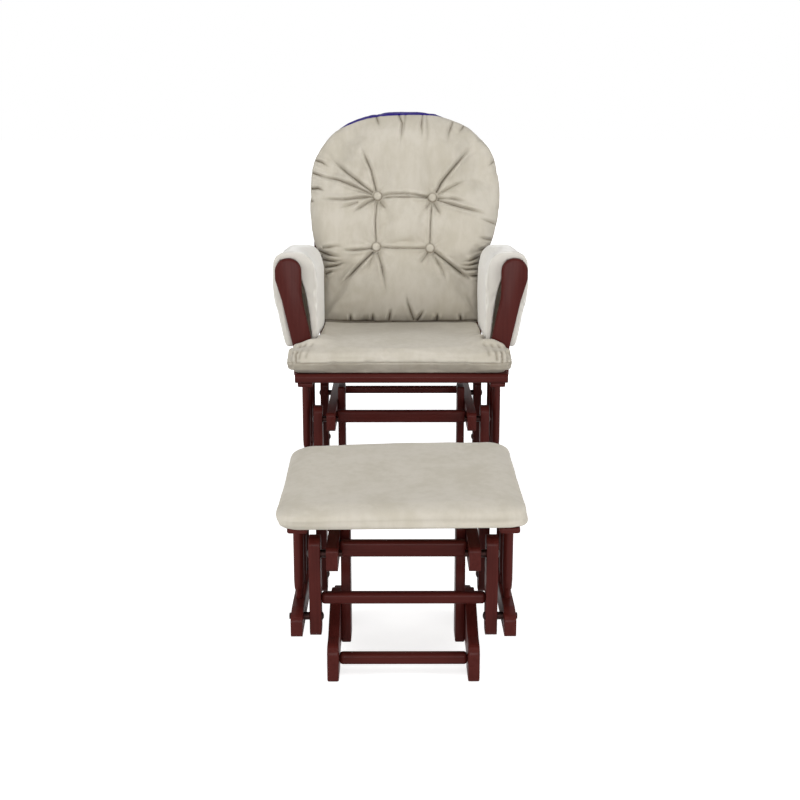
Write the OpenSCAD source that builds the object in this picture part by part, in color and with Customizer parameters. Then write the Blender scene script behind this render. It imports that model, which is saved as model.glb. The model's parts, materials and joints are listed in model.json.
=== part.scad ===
// Glider nursery chair with its matching gliding footstool.
// Each piece of furniture hangs its seat from a floor frame on four swing arms.

/* [Boards] */
// Thickness of the solid wood boards
board_t = 22; // [18:1:25]
// Height of the rails that carry the pivots
rail_h = 47; // [40:1:52]
// Height of the front cross rails
cross_rail_h = 32; // [24:1:36]
// Height of the rear cross rails
rear_cross_rail_h = 20; // [16:1:26]
// Height and depth of the stretchers near the floor and between the arms
stretcher_h = 22; // [18:1:26]
// Radius on the long edges of the cross rails
rail_round = 7; // [3:1:7]

/* [Glide mechanism] */
// Distance between the upper and the lower pivot of a swing arm
arm_drop = 127; // [115:1:140]
// Wood beyond each pivot of a swing arm
arm_end = 35; // [28:1:38]
// Width of a swing arm
arm_w = 44; // [40:1:50]
// Gap between a swing arm and the frames beside it
glide_gap = 12; // [10:1:15]
// Height of the rail between the front swing arms above the lower pivots
arm_rail_up = 38; // [34:1:45]
// Diameter of the pivot bolts
bolt_d = 8; // [6:0.5:10]
// Diameter of the heads of the pivot bolts
bolt_head_d = 16; // [13:0.5:18]
// Outer diameter of the ball bearings
bearing_d = 22; // [20:0.5:24]
// Radial running clearance of a bearing in its swing arm
running_fit = 0.05; // [0.02:0.01:0.08]
// Radial clearance at the lower end of the rear swing arms
loose_fit = 0.3; // [0.2:0.05:0.5]

/* [Chair base] */
// Half the distance between the two sides of the chair's floor frame
chair_base_half = 179; // [165:1:195]
// Height of the chair's upper pivots
chair_pivot_z = 280; // [270:1:300]
// Distance from the chair's front pivots to its rear ones
chair_pitch = 298; // [270:1:320]
// Length of the chair's runners beyond the pivots
chair_runner_over = 75; // [60:1:90]

/* [Footstool base] */
// Half the distance between the two sides of the footstool's floor frame
stool_base_half = 134; // [120:1:150]
// Height of the footstool's upper pivots
stool_pivot_z = 240; // [236:1:252]
// Distance from the footstool's front pivots to its rear ones
stool_pitch = 220; // [205:1:240]
// Length of the footstool's runners beyond the pivots
stool_runner_over = 55; // [50:1:70]
// Distance from the chair's front pivots forward to the footstool's
stool_ahead = 873; // [860:1:1000]

/* [Runners] */
// Height of the ends of a runner
foot_h = 70; // [60:1:80]
// Height of the middle of a runner
runner_mid_h = 112; // [100:1:118]
// Length of each sole
sole_len = 62; // [50:1:70]
// Height of the arch under a runner
arch_h = 24; // [15:1:30]
// Width of the uprights
upright_w = 60; // [50:1:68]
// Height of an upright's lower end above the floor
upright_lift = 20; // [15:1:25]

/* [Seat frames] */
// Thickness of the plates on top of the posts
plate_t = 11; // [9:1:14]
// Width of the plates on top of the posts
plate_w = 38; // [34:1:44]
// Distance by which the plates reach past the outer face of the posts' rail
plate_lip = 1; // [0:0.5:4]
// Height of the underside of the chair's plates
chair_plate_z = 381; // [375:1:395]
// Height of the underside of the footstool's plates
stool_plate_z = 306; // [303:1:316]
// Diameter of the posts
post_d = 20; // [16:1:22]
// Thickness of the chair's front and rear seat rails
seat_rail_t = 23; // [20:1:26]
// Depth of the chair's front and rear seat rails
seat_rail_w = 55; // [45:1:60]
// Half the length of the chair's seat rails
seat_rail_half = 265; // [262:1:275]
// Distance from the chair's front pivots forward to the seat's front edge
seat_front = 85; // [75:1:95]
// Distance from the chair's front pivots back to the foot of the backrest
back_foot = 425; // [415:1:440]
// Width of a seat slat
slat_w = 50; // [40:1:60]
// Number of seat slats
slat_count = 4; // [3:1:4]

/* [Arms] */
// Height of the top of the arm supports
arm_top_z = 692; // [680:1:710]
// Width of an arm support at its narrowest
arm_neck_w = 50; // [42:1:54]
// Width of an arm support's rounded head
arm_head_w = 66; // [60:1:70]
// Distance by which an arm support leans outward from foot to head
arm_flare = 27; // [20:1:32]
// Width of an armrest board
armrest_w = 58; // [50:1:62]
// Thickness of an armrest board
armrest_t = 18; // [15:1:20]
// Angle at which the armrests fall towards the back
arm_fall = 3; // [0:0.5:4]
// Thickness of the padding above an armrest board
pad_top = 18; // [12:1:22]
// Depth of an arm pad's flaps below the top of the arm
pad_drop = 234; // [210:1:236]
// Thickness of an arm pad's flaps
pad_flap = 24; // [18:1:28]

/* [Back] */
// Angle of the back from upright
recline = 12; // [8:1:15]
// Half the width of the bent hoop
hoop_half = 248; // [240:1:252]
// Height of the hoop along the back
hoop_h = 600; // [570:1:610]
// Radius of the hoop's shoulders
hoop_shoulder = 170; // [140:1:180]
// Width of the hoop's bar
hoop_bar = 26; // [22:1:30]
// Thickness of the hoop's bar
hoop_t = 20; // [18:1:22]
// Width of a back slat
back_slat_w = 34; // [28:1:40]
// Thickness of a back slat
back_slat_t = 10; // [8:1:12]
// Number of back slats
back_slats = 5; // [3:1:6]

/* [Cushions] */
// Thickness of the seat cushion at its front
seat_pad_t = 75; // [65:1:85]
// Drop of the seat cushion's top from front to back
seat_pad_fall = 17; // [8:1:22]
// Half the width of the seat cushion ahead of the arms
seat_pad_half = 277; // [268:1:282]
// Half the width of the seat cushion between the arms
seat_waist_half = 212; // [200:1:214]
// Thickness of the back cushion
back_pad_t = 112; // [95:1:120]
// Half the greatest width of the back cushion
back_pad_half = 268; // [258:1:272]
// Length of the back cushion's top above the seat frame, along the back
back_pad_h = 618; // [605:1:640]
// Diameter of the covered buttons
button_d = 22; // [18:1:26]
// Distance between the two columns of buttons
button_pitch_x = 153; // [130:1:170]
// Distance between the two rows of buttons
button_pitch_z = 143; // [120:1:160]
// Height of the middle of the buttons above the seat frame, along the back
button_mid = 315; // [295:1:335]
// Half the width of the footstool's pad
stool_pad_half = 232; // [224:1:240]
// Depth of the footstool's pad from front to back
stool_pad_depth = 420; // [400:1:440]
// Thickness of the footstool's pad
stool_pad_t = 64; // [50:1:70]

/* [Hidden] */
$fn = 48;

wood = "#532a26";
cloth = "#c8c0b2";
steel = "#8c8c90";
plywood = "#b89a6c";

SIDES = [-1, 1];            // left is -X, right is +X
cloth_gap = 0.3;            // between a soft piece and what it rests on
support_gap = 12;           // between the seat cushion and the foot of an arm support
back_pad_clear = 82;        // from the rear end of an arm pad to the foot of the back
pad_side = 17;              // thickness of an arm pad outside the armrest
pad_under = 40;             // and below it, over the hollow between the flaps
back_pad_lap = 4;           // by which the back cushion is wider than the seat cushion between the arms
dome_h = 110;               // height of the domed top of the back cushion
bolt_fit = 0.05;            // radial clearance of a bolt in what it clamps
arc_steps = 10;             // points along each rounded corner

// Hardware of a pivot
bearing_w = board_t - 1;    // width of a ball bearing
nut_h = 6;                  // height of a nut
nut_d = bolt_d * 1.7;       // width of a nut across its corners
spacer_d = bolt_d + 7;      // diameter of the spacer beside a bearing
head_t = 5;                 // height of a bolt's domed head

// Boards and rails
cross_rail_in = 30;         // from a front pivot to the cross rail between the top rails
rear_rail_in = 20;          // the same at the rear pivots
rail_past = 5;              // by which a top rail's ends pass those of the swing arms
upright_t = 19;             // thickness of the uprights
upright_rise = 32;          // of the chair's uprights above the top rails
stretcher_in = 35;          // from the front of a runner to the low stretcher
rail_over = 50;             // wood of a seat's bottom rail beyond its pivots
slat_t = 12;                // thickness of a seat slat
stool_board_t = 10;         // thickness of the board under the footstool's pad
board_inset = 16;           // from the edge of the footstool's pad to the edge of its board
hoop_draw_in = 18;          // how far the hoop's legs draw in towards the foot
hoop_leg_bend = 300;        // radius of the slight bend in the hoop's legs
hoop_foot_half = hoop_half - hoop_draw_in;
foot_cut = 20;              // the back's legs start this far below the seat frame, then are cut level

// The two glide frames, seen from the front pivots: half widths of the three layers
chair_arm_half = chair_base_half + board_t + glide_gap;
chair_outer_half = chair_arm_half + board_t + glide_gap;
stool_arm_half = stool_base_half + board_t + glide_gap;
stool_outer_half = stool_arm_half + board_t + glide_gap;
chair_low_z = chair_pivot_z - arm_drop;
stool_low_z = stool_pivot_z - arm_drop;

// The seat's levels
plate_top_z = chair_plate_z + plate_t;
seat_top_z = plate_top_z + seat_rail_t;
stool_top_z = stool_plate_z + plate_t;
seat_pad_z = seat_top_z + cloth_gap;
seat_pad_top_z = seat_pad_z + seat_pad_t;
armrest_top_z = arm_top_z - 6;

// Front edge of the footstool's pad ahead of its pivots, centred over the seat frame
stool_pad_ahead = (stool_pad_depth - stool_pitch) / 2 - 18;

// The whole set is centred front to back on the origin
rear_most = back_foot + hoop_h * sin(recline) + hoop_t * cos(recline);
front_most = -stool_ahead - stool_pad_ahead;
chair_y = -(rear_most + front_most) / 2;
stool_y = chair_y - stool_ahead;

// ---- Outlines ----

function unit(v) = v / norm(v);

// Points of an arc of radius r that rounds the corner b between a and c
function fillet(a, b, c, r) =
    let (
        u = unit(a - b),
        v = unit(c - b),
        half_angle = acos(u * v) / 2,
        middle = b + unit(u + v) * r / sin(half_angle),
        from = b + u * r / tan(half_angle) - middle,
        to = b + v * r / tan(half_angle) - middle,
        start = atan2(from.y, from.x),
        sweep = (atan2(to.y, to.x) - start + 540) % 360 - 180
    )
    [for (i = [0:arc_steps]) middle + r * [cos(start + sweep * i / arc_steps),
                                           sin(start + sweep * i / arc_steps)]];

// Outline through corners [x, y, radius], each rounded by its own radius
function rounded(corners) =
    let (n = len(corners))
    [for (i = [0:n - 1])
        let (
            a = corners[(i + n - 1) % n],
            b = corners[i],
            c = corners[(i + 1) % n]
        )
        each b[2] > 0
            ? fillet([a.x, a.y], [b.x, b.y], [c.x, c.y], b[2])
            : [[b.x, b.y]]];

// The same corners on the other side of the y axis, in reverse order
function mirrored(corners) =
    [for (i = [len(corners) - 1:-1:0]) [-corners[i].x, corners[i].y, corners[i][2]]];

function rounded_rect(x0, y0, x1, y1, r) =
    rounded([[x0, y0, r], [x1, y0, r], [x1, y1, r], [x0, y1, r]]);

// A board that stands front to back: outline in Y and Z, thickness along X
module side_board(x, t = board_t) {
    translate([x, 0, 0])
        rotate([90, 0, 90])
            linear_extrude(height = t, center = true)
                children();
}

// A board that faces forward: outline in X and Z, thickness from y towards the front
module front_board(y, t = board_t) {
    translate([0, y, 0])
        rotate([90, 0, 0])
            linear_extrude(height = t)
                children();
}

// A hole or pin along X between two distances from the middle plane
module pin_x(side, from, to, y, z, d) {
    translate([side * from, y, z])
        rotate([0, side * 90, 0])
            cylinder(h = to - from, d = d);
}

// A rail from side to side with rounded long edges
module cross_rail(half, y, z, depth, height, edge) {
    rotate([90, 0, 90])
        linear_extrude(height = 2 * half, center = true)
            polygon(rounded_rect(y - depth / 2, z - height / 2, y + depth / 2, z + height / 2, edge));
}

// ---- Floor frames ----

// Half of a runner's outline, from the middle of the arch to the middle of the top
function runner_half(half_len) = [
    [half_len - sole_len - 26, arch_h, 30],
    [half_len - sole_len, 0, 12],
    [half_len, 0, 6],
    [half_len, foot_h, 20],
    [half_len - 46, foot_h + 4, 34],
    [upright_w / 2 + 8, runner_mid_h, 8]
];

module runner(x, y_mid, half_len) {
    corners = concat(runner_half(half_len), mirrored(runner_half(half_len)));
    color(wood)
        side_board(x)
            translate([y_mid, 0])
                polygon(rounded(corners));
}

module upright(side, half, y_mid, top_z) {
    color(wood)
        side_board(side * (half - (board_t + upright_t) / 2), upright_t)
            polygon(rounded_rect(y_mid - upright_w / 2, upright_lift, y_mid + upright_w / 2, top_z, 6));
}

module top_rail(side, half, y, z, pitch) {
    color(wood)
        difference() {
            side_board(side * half)
                polygon(rounded_rect(y - arm_end - rail_past, z - rail_h / 2,
                                     y + pitch + arm_end + rail_past, z + rail_h / 2, 9));
            for (py = [y, y + pitch])
                pin_x(side, half - board_t, half + board_t, py, z, bolt_d + 2 * bolt_fit);
        }
}

module chair_base_side(side) {
    runner(side * chair_base_half, chair_y + chair_pitch / 2, chair_pitch / 2 + chair_runner_over);
}

module stool_base_side(side) {
    runner(side * stool_base_half, stool_y + stool_pitch / 2, stool_pitch / 2 + stool_runner_over);
}

module chair_upright(side) {
    upright(side, chair_base_half, chair_y + chair_pitch / 2, chair_pivot_z + rail_h / 2 + upright_rise);
}

module stool_upright(side) {
    upright(side, stool_base_half, stool_y + stool_pitch / 2, stool_pivot_z + rail_h / 2);
}

module front_cross_rail(half, y, z) {
    color(wood)
        cross_rail(half - board_t / 2, y + cross_rail_in, z, board_t, cross_rail_h, rail_round);
}

module rear_cross_rail(half, y, z) {
    color(wood)
        cross_rail(half - board_t / 2, y - rear_rail_in, z + (rail_h - rear_cross_rail_h) / 2,
                   board_t, rear_cross_rail_h, rail_round);
}

module low_stretcher(half, y, over) {
    color(wood)
        cross_rail(half - board_t / 2, y - over + stretcher_in, foot_h / 2,
                   stretcher_h, stretcher_h, rail_round);
}

// ---- Pivots ----

// Layers along X of a pivot, from the face of the frame that holds the bolt to the
// far face of the swing arm; step is +1 when the arm lies outward, -1 when inward
module pivot_bolt(side, frame_half, arm_half, y, z) {
    step = arm_half > frame_half ? 1 : -1;
    nut_face = frame_half - step * board_t / 2;
    frame_face = frame_half + step * board_t / 2;
    bearing_face = arm_half - step * bearing_w / 2;
    head_face = arm_half + step * bearing_w / 2;
    translate([0, y, z])
        rotate([0, side * 90, 0]) {
            // bolt with its domed head against the bearing
            union() {
                translate([0, 0, min(nut_face - step * nut_h, head_face)])
                    cylinder(h = abs(head_face - nut_face) + nut_h, d = bolt_d);
                translate([0, 0, head_face])
                    mirror([0, 0, step < 0 ? 1 : 0])
                        bolt_head();
            }
            // nut on the face of the frame
            translate([0, 0, min(nut_face, nut_face - step * nut_h)])
                difference() {
                    cylinder(h = nut_h, d = nut_d, $fn = 6);
                    translate([0, 0, -1])
                        cylinder(h = nut_h + 2, d = bolt_d + 2 * bolt_fit);
                }
            // spacer between the frame and the bearing
            translate([0, 0, min(frame_face, bearing_face)])
                difference() {
                    cylinder(h = abs(bearing_face - frame_face), d = spacer_d);
                    translate([0, 0, -1])
                        cylinder(h = abs(bearing_face - frame_face) + 2, d = bolt_d + 2 * bolt_fit);
                }
        }
}

// A low domed head that stands on the XY plane
module bolt_head() {
    rotate_extrude()
        intersection() {
            translate([0, -bolt_head_d * 0.75 + head_t])
                circle(d = bolt_head_d * 1.5);
            square([bolt_head_d / 2, head_t]);
        }
}

// A ball bearing with the groove between its two races on both faces
module bearing(side, arm_half, y, z) {
    groove_in = bolt_d / 2 + 2.5;
    groove_out = bearing_d / 2 - 2;
    translate([side * arm_half, y, z])
        rotate([0, 90, 0])
            rotate_extrude()
                difference() {
                    translate([bolt_d / 2 + bolt_fit, -bearing_w / 2])
                        square([bearing_d / 2 - bolt_d / 2 - bolt_fit, bearing_w]);
                    for (end = SIDES)
                        translate([groove_in, end * bearing_w / 2 - 1])
                            square([groove_out - groove_in, 2]);
                }
}

module pivots(frame_half, arm_half, y, z, pitch, part) {
    for (side = SIDES, py = [y, y + pitch])
        if (part == "bolt")
            pivot_bolt(side, frame_half, arm_half, py, z);
        else
            bearing(side, arm_half, py, z);
}

// ---- Swing arms ----

module swing_arm(side, half, y, top_z, lower_fit) {
    color(wood)
        difference() {
            side_board(side * half)
                polygon(rounded_rect(y - arm_w / 2, top_z - arm_drop - arm_end,
                                     y + arm_w / 2, top_z + arm_end, 15));
            pin_x(side, half - board_t, half + board_t, y, top_z, bearing_d + 2 * running_fit);
            pin_x(side, half - board_t, half + board_t, y, top_z - arm_drop, bearing_d + 2 * lower_fit);
        }
}

module swing_arm_rail(half, y, low_z) {
    color(wood)
        cross_rail(half - board_t / 2, y, low_z + arm_rail_up, stretcher_h, stretcher_h, rail_round);
}

// ---- Seat frames ----

module bottom_rail(side, half, y, z, pitch) {
    color(wood)
        difference() {
            side_board(side * half)
                polygon(rounded([
                    [y - rail_over, z - rail_h / 2, 8], [y + pitch + rail_over, z - rail_h / 2, 8],
                    [y + pitch + rail_over, z + rail_h / 2 - 6, 14],
                    [y + pitch + rail_over - 40, z + rail_h / 2, 30],
                    [y - rail_over + 40, z + rail_h / 2, 30], [y - rail_over, z + rail_h / 2 - 6, 14]
                ]));
            for (py = [y, y + pitch])
                pin_x(side, half - board_t, half + board_t, py, z, bolt_d + 2 * bolt_fit);
        }
}

// Plate laid flat on the posts, set a little inward of the rail below
module side_plate(side, half, y0, y1, z) {
    outer = half + board_t / 2 + plate_lip;
    color(wood)
        translate([side > 0 ? outer - plate_w : -outer, 0, z])
            linear_extrude(height = plate_t)
                polygon(rounded_rect(0, y0, plate_w, y1, 6));
}

// Three turned posts a side, slimmer at both ends
module posts(half, y, pitch, low, high) {
    neck = 14;
    for (side = SIDES, place = [0.16, 0.5, 0.84])
        color(wood)
            translate([side * half, y + pitch * place, low])
                rotate_extrude()
                    polygon([
                        [0, 0], [post_d / 2 - 3, 0], [post_d / 2 - 3, neck],
                        [post_d / 2 - 1, neck + 6], [post_d / 2, neck + 22],
                        [post_d / 2, high - low - neck - 22], [post_d / 2 - 1, high - low - neck - 6],
                        [post_d / 2 - 3, high - low - neck], [post_d / 2 - 3, high - low], [0, high - low]
                    ]);
}

// Seat rail laid flat, with a bullnose along one long edge
module seat_rail(y0, y1) {
    color(wood)
        translate([0, 0, plate_top_z])
            rotate([90, 0, 90])
                linear_extrude(height = 2 * seat_rail_half, center = true)
                    polygon(rounded([[y0, 0, 9], [y1, 0, 2], [y1, seat_rail_t, 2], [y0, seat_rail_t, 9]]));
}

module seat_slats() {
    first = chair_y + 50;
    last = chair_y + back_foot - seat_rail_w / 2 - 15 - slat_w;
    for (i = [0:slat_count - 1])
        color(wood)
            translate([-chair_outer_half - board_t / 2, first + (last - first) * i / (slat_count - 1),
                       plate_top_z])
                cube([2 * chair_outer_half + board_t, slat_w, slat_t]);
}

// ---- Arms ----

// Outline of an arm support on the +X side: foot, waist and rounded head
support_foot_x = seat_waist_half + support_gap;
function support_outline() =
    let (
        foot_out = support_foot_x + arm_neck_w,
        head_in = support_foot_x + arm_flare,
        head_out = head_in + arm_head_w,
        waist_z = arm_top_z - 1.6 * arm_head_w,
        knee_z = seat_top_z + 50
    )
    rounded([
        [support_foot_x, plate_top_z, 0],
        [foot_out, plate_top_z, 0],
        [foot_out, knee_z, 90],
        [foot_out + arm_flare, waist_z, 120],
        [head_out, arm_top_z - 0.8 * arm_head_w, 40],
        [head_out, arm_top_z, arm_head_w / 2],
        [head_in, arm_top_z, arm_head_w / 2 - 1],
        [head_in, waist_z + 8, 120],
        [support_foot_x, knee_z, 90]
    ]);

module arm_support(side) {
    color(wood)
        mirror([side < 0 ? 1 : 0, 0, 0])
            front_board(chair_y + board_t)
                polygon(support_outline());
}

// Stands its children behind the arm supports, level with an armrest's top and falling with it:
// Y runs along the arm. What would reach into the support is cut off short of its rear face.
module along_arm(gap = 0) {
    difference() {
        translate([0, chair_y + board_t, armrest_top_z])
            rotate([-arm_fall, 0, 0])
                children();
        translate([-2 * hoop_half, chair_y - board_t, armrest_top_z - 2 * pad_drop])
            cube([4 * hoop_half, 2 * board_t + gap, 3 * pad_drop]);
    }
}

module armrest(side) {
    inner = hoop_half + cloth_gap;
    reach = back_foot + (armrest_top_z - seat_top_z) * tan(recline) + hoop_t - board_t;
    color(wood)
        along_arm()
            mirror([side < 0 ? 1 : 0, 0, 0])
                translate([inner, -20, -armrest_t])
                    linear_extrude(height = armrest_t)
                        polygon(rounded([[0, 0, 0], [armrest_w, 0, 0], [armrest_w, reach + 20, 18],
                                         [0, reach + 20, 4]]));
}

// Outline of a padded sleeve on the +X side: closed above, open below between its two flaps
function sleeve_outline() =
    let (
        low = pad_top - pad_drop,
        inner = seat_waist_half + 1,
        outer = hoop_half + armrest_w + pad_side,
        tuck = 34,
        hollow_top = -armrest_t - pad_under,
        hollow_in = inner + pad_flap + 2
    )
    rounded([
        [inner + 2, low, 8], [inner, pad_top, 42], [outer, pad_top, 30],
        [outer, pad_top - 92, 60], [outer - tuck, low, 8], [outer - tuck - pad_flap, low, 8],
        [outer - pad_flap, hollow_top, 12],
        [hollow_in + 14, hollow_top, 12], [hollow_in, hollow_top - 80, 60], [hollow_in, low, 8]
    ]);

module arm_pad(side) {
    length = back_foot - back_pad_clear;
    color(cloth)
        along_arm(cloth_gap)
            mirror([side < 0 ? 1 : 0, 0, 0])
                difference() {
                    translate([0, length, 0])
                        rotate([90, 0, 0])
                            linear_extrude(height = length + board_t)
                                polygon(sleeve_outline());
                    // room for the armrest board
                    translate([hoop_half, -2 * board_t, -armrest_t - cloth_gap])
                        cube([armrest_w + 2 * cloth_gap, back_foot + board_t, armrest_t + 2 * cloth_gap]);
                }
}

// ---- Back ----

// Stands its children in the plane of the back: x across, z along the back
module on_back() {
    translate([0, chair_y + back_foot, seat_top_z])
        rotate([-recline, 0, 0])
            children();
}

// A shape in the back's plane, from y0 to y1 behind the front of the hoop
module back_sheet(y0, y1) {
    translate([0, y1, 0])
        rotate([90, 0, 0])
            linear_extrude(height = y1 - y0)
                children();
}

// Arch with straight legs that draw in towards the foot
function arch_outline(half, foot_half, height, shoulder, foot) =
    rounded([
        [foot_half, foot, 0], [half, height * 0.38, hoop_leg_bend],
        [half, height - shoulder * 0.62, shoulder * 0.62], [half * 0.62, height, shoulder * 0.9],
        [-half * 0.62, height, shoulder * 0.9], [-half, height - shoulder * 0.62, shoulder * 0.62],
        [-half, height * 0.38, hoop_leg_bend], [-foot_half, foot, 0]
    ]);

// Everything below the seat frame's top, in the frame of the set
module below_seat(z = seat_top_z) {
    translate([-500, chair_y, z - 200])
        cube([1000, 900, 200]);
}

module back_hoop() {
    color(wood)
        difference() {
            on_back()
                back_sheet(0, hoop_t)
                    difference() {
                        polygon(arch_outline(hoop_half, hoop_foot_half, hoop_h, hoop_shoulder, -foot_cut));
                        polygon(arch_outline(hoop_half - hoop_bar, hoop_foot_half - hoop_bar,
                                             hoop_h - hoop_bar, hoop_shoulder - hoop_bar,
                                             -foot_cut - 1));
                    }
            below_seat();
        }
}

module back_slats() {
    span = 2 * (hoop_foot_half - hoop_bar);
    pitch = span / (back_slats + 1);
    color(wood)
        difference() {
            on_back()
                back_sheet((hoop_t - back_slat_t) / 2, (hoop_t + back_slat_t) / 2)
                    intersection() {
                        polygon(arch_outline(hoop_half - hoop_bar, hoop_foot_half - hoop_bar,
                                             hoop_h - hoop_bar, hoop_shoulder - hoop_bar,
                                             -foot_cut - 1));
                        for (i = [1:back_slats])
                            translate([-span / 2 + pitch * i - back_slat_w / 2, -foot_cut])
                                square([back_slat_w, hoop_h + foot_cut]);
                    }
            below_seat();
        }
}

// ---- Cushions ----

// Plan of the seat cushion: wide ahead of the arms, narrow between them
function seat_plan(inset) =
    let (
        front = -seat_front - 4 + inset,
        step_y = -cloth_gap - 3 - inset,
        rear = back_foot - 12 - inset,
        wide = seat_pad_half - inset,
        narrow = seat_waist_half - inset
    )
    rounded([
        [-wide, front, 28], [wide, front, 28], [wide, step_y, 14], [narrow, step_y, 0],
        [narrow, rear, 20], [-narrow, rear, 20], [-narrow, step_y, 0], [-wide, step_y, 14]
    ]);

module seat_cushion() {
    edge = 12;
    side_view = rounded([
        [-seat_front - 4, seat_pad_z + 14, 12], [-seat_front + 4, seat_pad_z, 10],
        [back_foot, seat_pad_z, 4], [back_foot, seat_pad_top_z - seat_pad_fall, 10],
        [-seat_front + 14, seat_pad_top_z, 20], [-seat_front - 4, seat_pad_top_z - 30, 20]
    ]);
    color(cloth)
        translate([0, chair_y, 0])
            intersection() {
                union() {
                    linear_extrude(height = seat_pad_top_z + 1)
                        polygon(seat_plan(edge));
                    translate([0, 0, seat_pad_z + edge])
                        linear_extrude(height = seat_pad_t - seat_pad_fall - 2 * edge)
                            polygon(seat_plan(0));
                }
                side_board(0, 4 * seat_pad_half)
                    polygon(side_view);
            }
}

// Outline of the back cushion: narrow between the arms, domed above them
arm_level = (armrest_top_z + pad_top - seat_top_z) / cos(recline);
function cushion_outline(inset) =
    let (
        w = back_pad_half - inset,
        low_w = seat_waist_half + back_pad_lap - inset,
        shoulder = arm_level + 0.48 * (back_pad_h - dome_h - arm_level),
        top = back_pad_h - inset,
        foot = (seat_pad_t - seat_pad_fall) / cos(recline) + inset,
        half = [
            [low_w, foot, 30],
            [low_w, arm_level - 36, 16],
            [low_w + 38, arm_level - 2, 16],
            [w, shoulder, 300],
            [w, top - dome_h, 100],
            [w * 0.6, top, 150]
        ]
    )
    rounded(concat(half, mirrored(half)));

module back_cushion() {
    edge = 26;
    color(cloth)
        difference() {
            on_back()
                union() {
                    back_sheet(-cloth_gap - back_pad_t, -cloth_gap)
                        polygon(cushion_outline(edge));
                    back_sheet(-cloth_gap - back_pad_t + edge * 0.6, -cloth_gap - edge * 0.6)
                        polygon(cushion_outline(edge * 0.4));
                    back_sheet(-cloth_gap - back_pad_t + edge, -cloth_gap - edge)
                        polygon(cushion_outline(0));
                }
            below_seat(seat_pad_top_z - seat_pad_fall + 6);
        }
}

// Buttons that draw the back cushion in, on its front
module covered_buttons() {
    for (column = SIDES, row = SIDES)
        color(cloth)
            on_back()
                translate([column * button_pitch_x / 2, -cloth_gap * 2 - back_pad_t,
                           button_mid + row * button_pitch_z / 2])
                    rotate([90, 0, 0])
                        rotate_extrude()
                            intersection() {
                                translate([0, -button_d * 0.55 + 7])
                                    circle(d = button_d * 1.1);
                                square([button_d / 2, 7]);
                            }
}

// ---- Footstool's seat ----

// Plan of the footstool's board and pad, drawn in from the pad's edge
function stool_plan(inset, corner) =
    rounded_rect(-stool_pad_half + inset, inset, stool_pad_half - inset, stool_pad_depth - inset, corner);

module stool_seat_board() {
    color(plywood)
        translate([0, stool_y - stool_pad_ahead, stool_top_z])
            linear_extrude(height = stool_board_t)
                polygon(stool_plan(board_inset, 30));
}

// Pad whose cover wraps the edges of the board
module stool_pad() {
    color(cloth)
        translate([0, stool_y - stool_pad_ahead, stool_top_z + cloth_gap])
            difference() {
                hull() {
                    for (layer = [[0, 8], [0.22, 0], [0.42, 4], [0.66, 16], [0.9, 40]])
                        translate([0, 0, layer[0] * stool_pad_t])
                            linear_extrude(height = 0.1 * stool_pad_t)
                                polygon(stool_plan(layer[1], 40));
                }
                translate([0, 0, -1])
                    linear_extrude(height = stool_board_t + 1)
                        polygon(stool_plan(board_inset - cloth_gap, 30));
            }
}

// ---- Pieces that take their places from one frame only ----

module upper_pivots(part) {
    color(steel) {
        pivots(chair_base_half, chair_arm_half, chair_y, chair_pivot_z, chair_pitch, part);
        pivots(stool_base_half, stool_arm_half, stool_y, stool_pivot_z, stool_pitch, part);
    }
}

module chair_lower_pivots(part) {
    color(steel)
        pivots(chair_outer_half, chair_arm_half, chair_y, chair_low_z, chair_pitch, part);
}

module stool_lower_pivots(part) {
    color(steel)
        pivots(stool_outer_half, stool_arm_half, stool_y, stool_low_z, stool_pitch, part);
}

module chair_side_plate(side) {
    side_plate(side, chair_outer_half, chair_y - seat_front + 7, chair_y + back_foot + seat_rail_w / 2 - 5,
               chair_plate_z);
}

module stool_side_plate(side) {
    side_plate(side, stool_outer_half, stool_y - stool_pad_ahead + 6,
               stool_y - stool_pad_ahead + stool_pad_depth - 12, stool_plate_z);
}

// ---- What is drawn ----

chair_base_side(-1);  // chair_runner_left
chair_base_side(1);  // chair_runner_right
chair_upright(-1);  // chair_upright_left
chair_upright(1);  // chair_upright_right
top_rail(-1, chair_base_half, chair_y, chair_pivot_z, chair_pitch);  // chair_top_rail_left
top_rail(1, chair_base_half, chair_y, chair_pivot_z, chair_pitch);  // chair_top_rail_right
front_cross_rail(chair_base_half, chair_y, chair_pivot_z);  // chair_front_cross_rail
rear_cross_rail(chair_base_half, chair_y + chair_pitch, chair_pivot_z);  // chair_rear_cross_rail
low_stretcher(chair_base_half, chair_y, chair_runner_over);  // chair_low_stretcher

stool_base_side(-1);  // stool_runner_left
stool_base_side(1);  // stool_runner_right
stool_upright(-1);  // stool_upright_left
stool_upright(1);  // stool_upright_right
top_rail(-1, stool_base_half, stool_y, stool_pivot_z, stool_pitch);  // stool_top_rail_left
top_rail(1, stool_base_half, stool_y, stool_pivot_z, stool_pitch);  // stool_top_rail_right
front_cross_rail(stool_base_half, stool_y, stool_pivot_z);  // stool_front_cross_rail
rear_cross_rail(stool_base_half, stool_y + stool_pitch, stool_pivot_z);  // stool_rear_cross_rail
low_stretcher(stool_base_half, stool_y, stool_runner_over);  // stool_low_stretcher

upper_pivots("bolt");  // upper_pivot_bolts
upper_pivots("bearing");  // upper_bearings

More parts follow.
